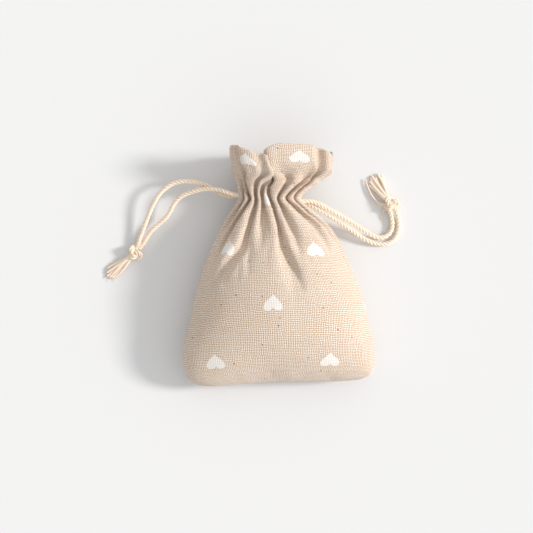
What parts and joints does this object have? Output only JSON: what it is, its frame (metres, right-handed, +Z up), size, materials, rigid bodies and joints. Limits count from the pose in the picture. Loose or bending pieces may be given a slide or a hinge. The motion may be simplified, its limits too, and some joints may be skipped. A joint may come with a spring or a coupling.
{
  "type": "drawstring gift pouch",
  "caption": "Small plain-weave cloth gift pouch with printed hearts, gathered at the neck by two drawstrings that end in knots with frayed tassels.",
  "frame": {"origin": "on the table, under the middle of the cloth's bounding box, cords left out", "axes": "+Z up out of the table the pouch lies on, +Y from the bottom fold towards the mouth, +X to the right seen from above"},
  "size_m": [0.1118, 0.0924, 0.0279],
  "materials": {
    "cloth": "plain-weave linen and cotton, undyed, with white hearts printed on it",
    "thread": "matt sewing thread",
    "cord": "three-ply twisted undyed cord"
  },
  "bodies": {
    "sack": {"front_panel": "cloth", "back_panel": "cloth", "back_casing": "cloth", "back_heading": "cloth", "left_seam_allowance": "cloth", "right_seam_allowance": "cloth", "left_side_stitching": "thread", "right_side_stitching": "thread", "back_lower_stitching": "thread", "back_upper_stitching": "thread", "left_drawstring_back": "cord", "right_drawstring_back": "cord"},
    "front_lip": {"front_casing": "cloth", "front_heading": "cloth", "front_lower_stitching": "thread", "front_upper_stitching": "thread", "left_drawstring_front": "cord", "right_drawstring_front": "cord"},
    "left_tail": {"left_outer_strand": "cord", "left_inner_strand": "cord"},
    "left_stop": {"left_knot": "cord", "left_tassel": "cord"},
    "right_tail": {"right_outer_strand": "cord", "right_inner_strand": "cord"},
    "right_stop": {"right_knot": "cord", "right_tassel": "cord"}
  },
  "joints": [
    {"name": "mouth_open", "type": "hinge", "parent": "sack", "child": "front_lip", "pos_m": [0, -0.002, 0.027], "axis": [1, 0, 0], "range_deg": [0, 20]},
    {"name": "left_swing", "type": "hinge", "parent": "sack", "child": "left_tail", "pos_m": [-0.0156, 0.0267, 0.011], "axis": [0, 0, 1], "range_deg": [-60, 25], "deforming": ["left_outer_strand", "left_inner_strand"]},
    {"name": "left_draw", "type": "slide", "parent": "left_tail", "child": "left_stop", "axis": [0.8751, 0.484, 0], "range_m": [0, 0.007]},
    {"name": "right_swing", "type": "hinge", "parent": "sack", "child": "right_tail", "pos_m": [0.0084, 0.0245, 0.011], "axis": [0, 0, 1], "range_deg": [-8, 40], "deforming": ["right_outer_strand", "right_inner_strand"]},
    {"name": "right_draw", "type": "slide", "parent": "right_tail", "child": "right_stop", "axis": [-1, 0, 0], "range_m": [0, 0.007]}
  ],
  "couplings": [
    {"joint": "left_draw", "follows": "mouth_open", "m_per_rad": 0.02},
    {"joint": "right_draw", "follows": "mouth_open", "m_per_rad": 0.02}
  ]
}
